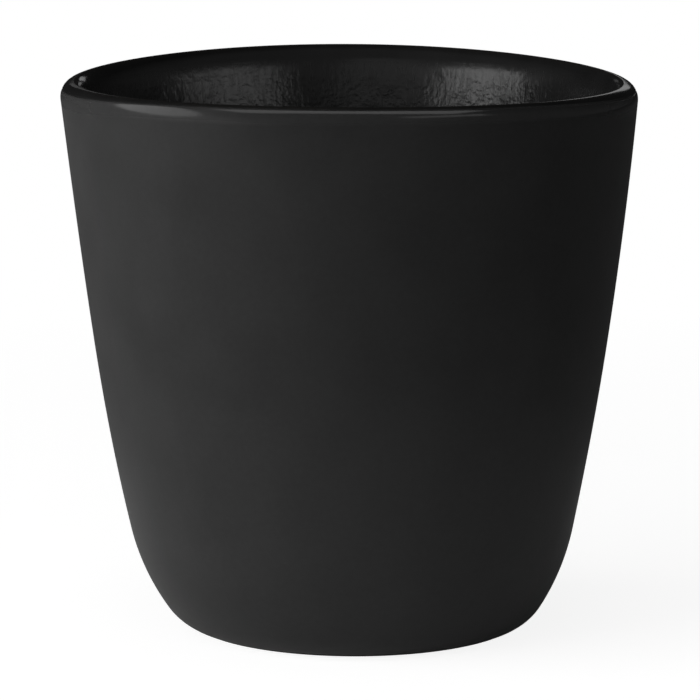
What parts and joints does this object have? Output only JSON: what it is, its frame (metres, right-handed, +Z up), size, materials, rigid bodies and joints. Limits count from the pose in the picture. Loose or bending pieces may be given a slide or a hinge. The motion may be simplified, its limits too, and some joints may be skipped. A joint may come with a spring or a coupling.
{
  "type": "stoneware mug",
  "caption": "Handleless black stoneware mug: tapering cup with a rounded lip, gloss glaze inside, satin glaze outside and an unglazed foot ring to stand on.",
  "frame": {"origin": "centre of the foot ring, on the plane the mug stands on", "axes": "+Z up along the axis of the cup, towards the rim; -Y faces the viewer of the picture and +X is to the picture's right"},
  "size_m": [0.086, 0.086, 0.0832],
  "materials": {
    "clay": "fired dark stoneware clay, unglazed and dry",
    "gloss_glaze": "glossy black glaze",
    "matte_glaze": "satin to matte black glaze",
    "base_matte_glaze": "satin to matte black glaze"
  },
  "bodies": {
    "root": {"stoneware_body": "clay", "gloss_lining": "gloss_glaze", "matte_coat": "matte_glaze", "base_glaze": "base_matte_glaze"}
  },
  "joints": []
}
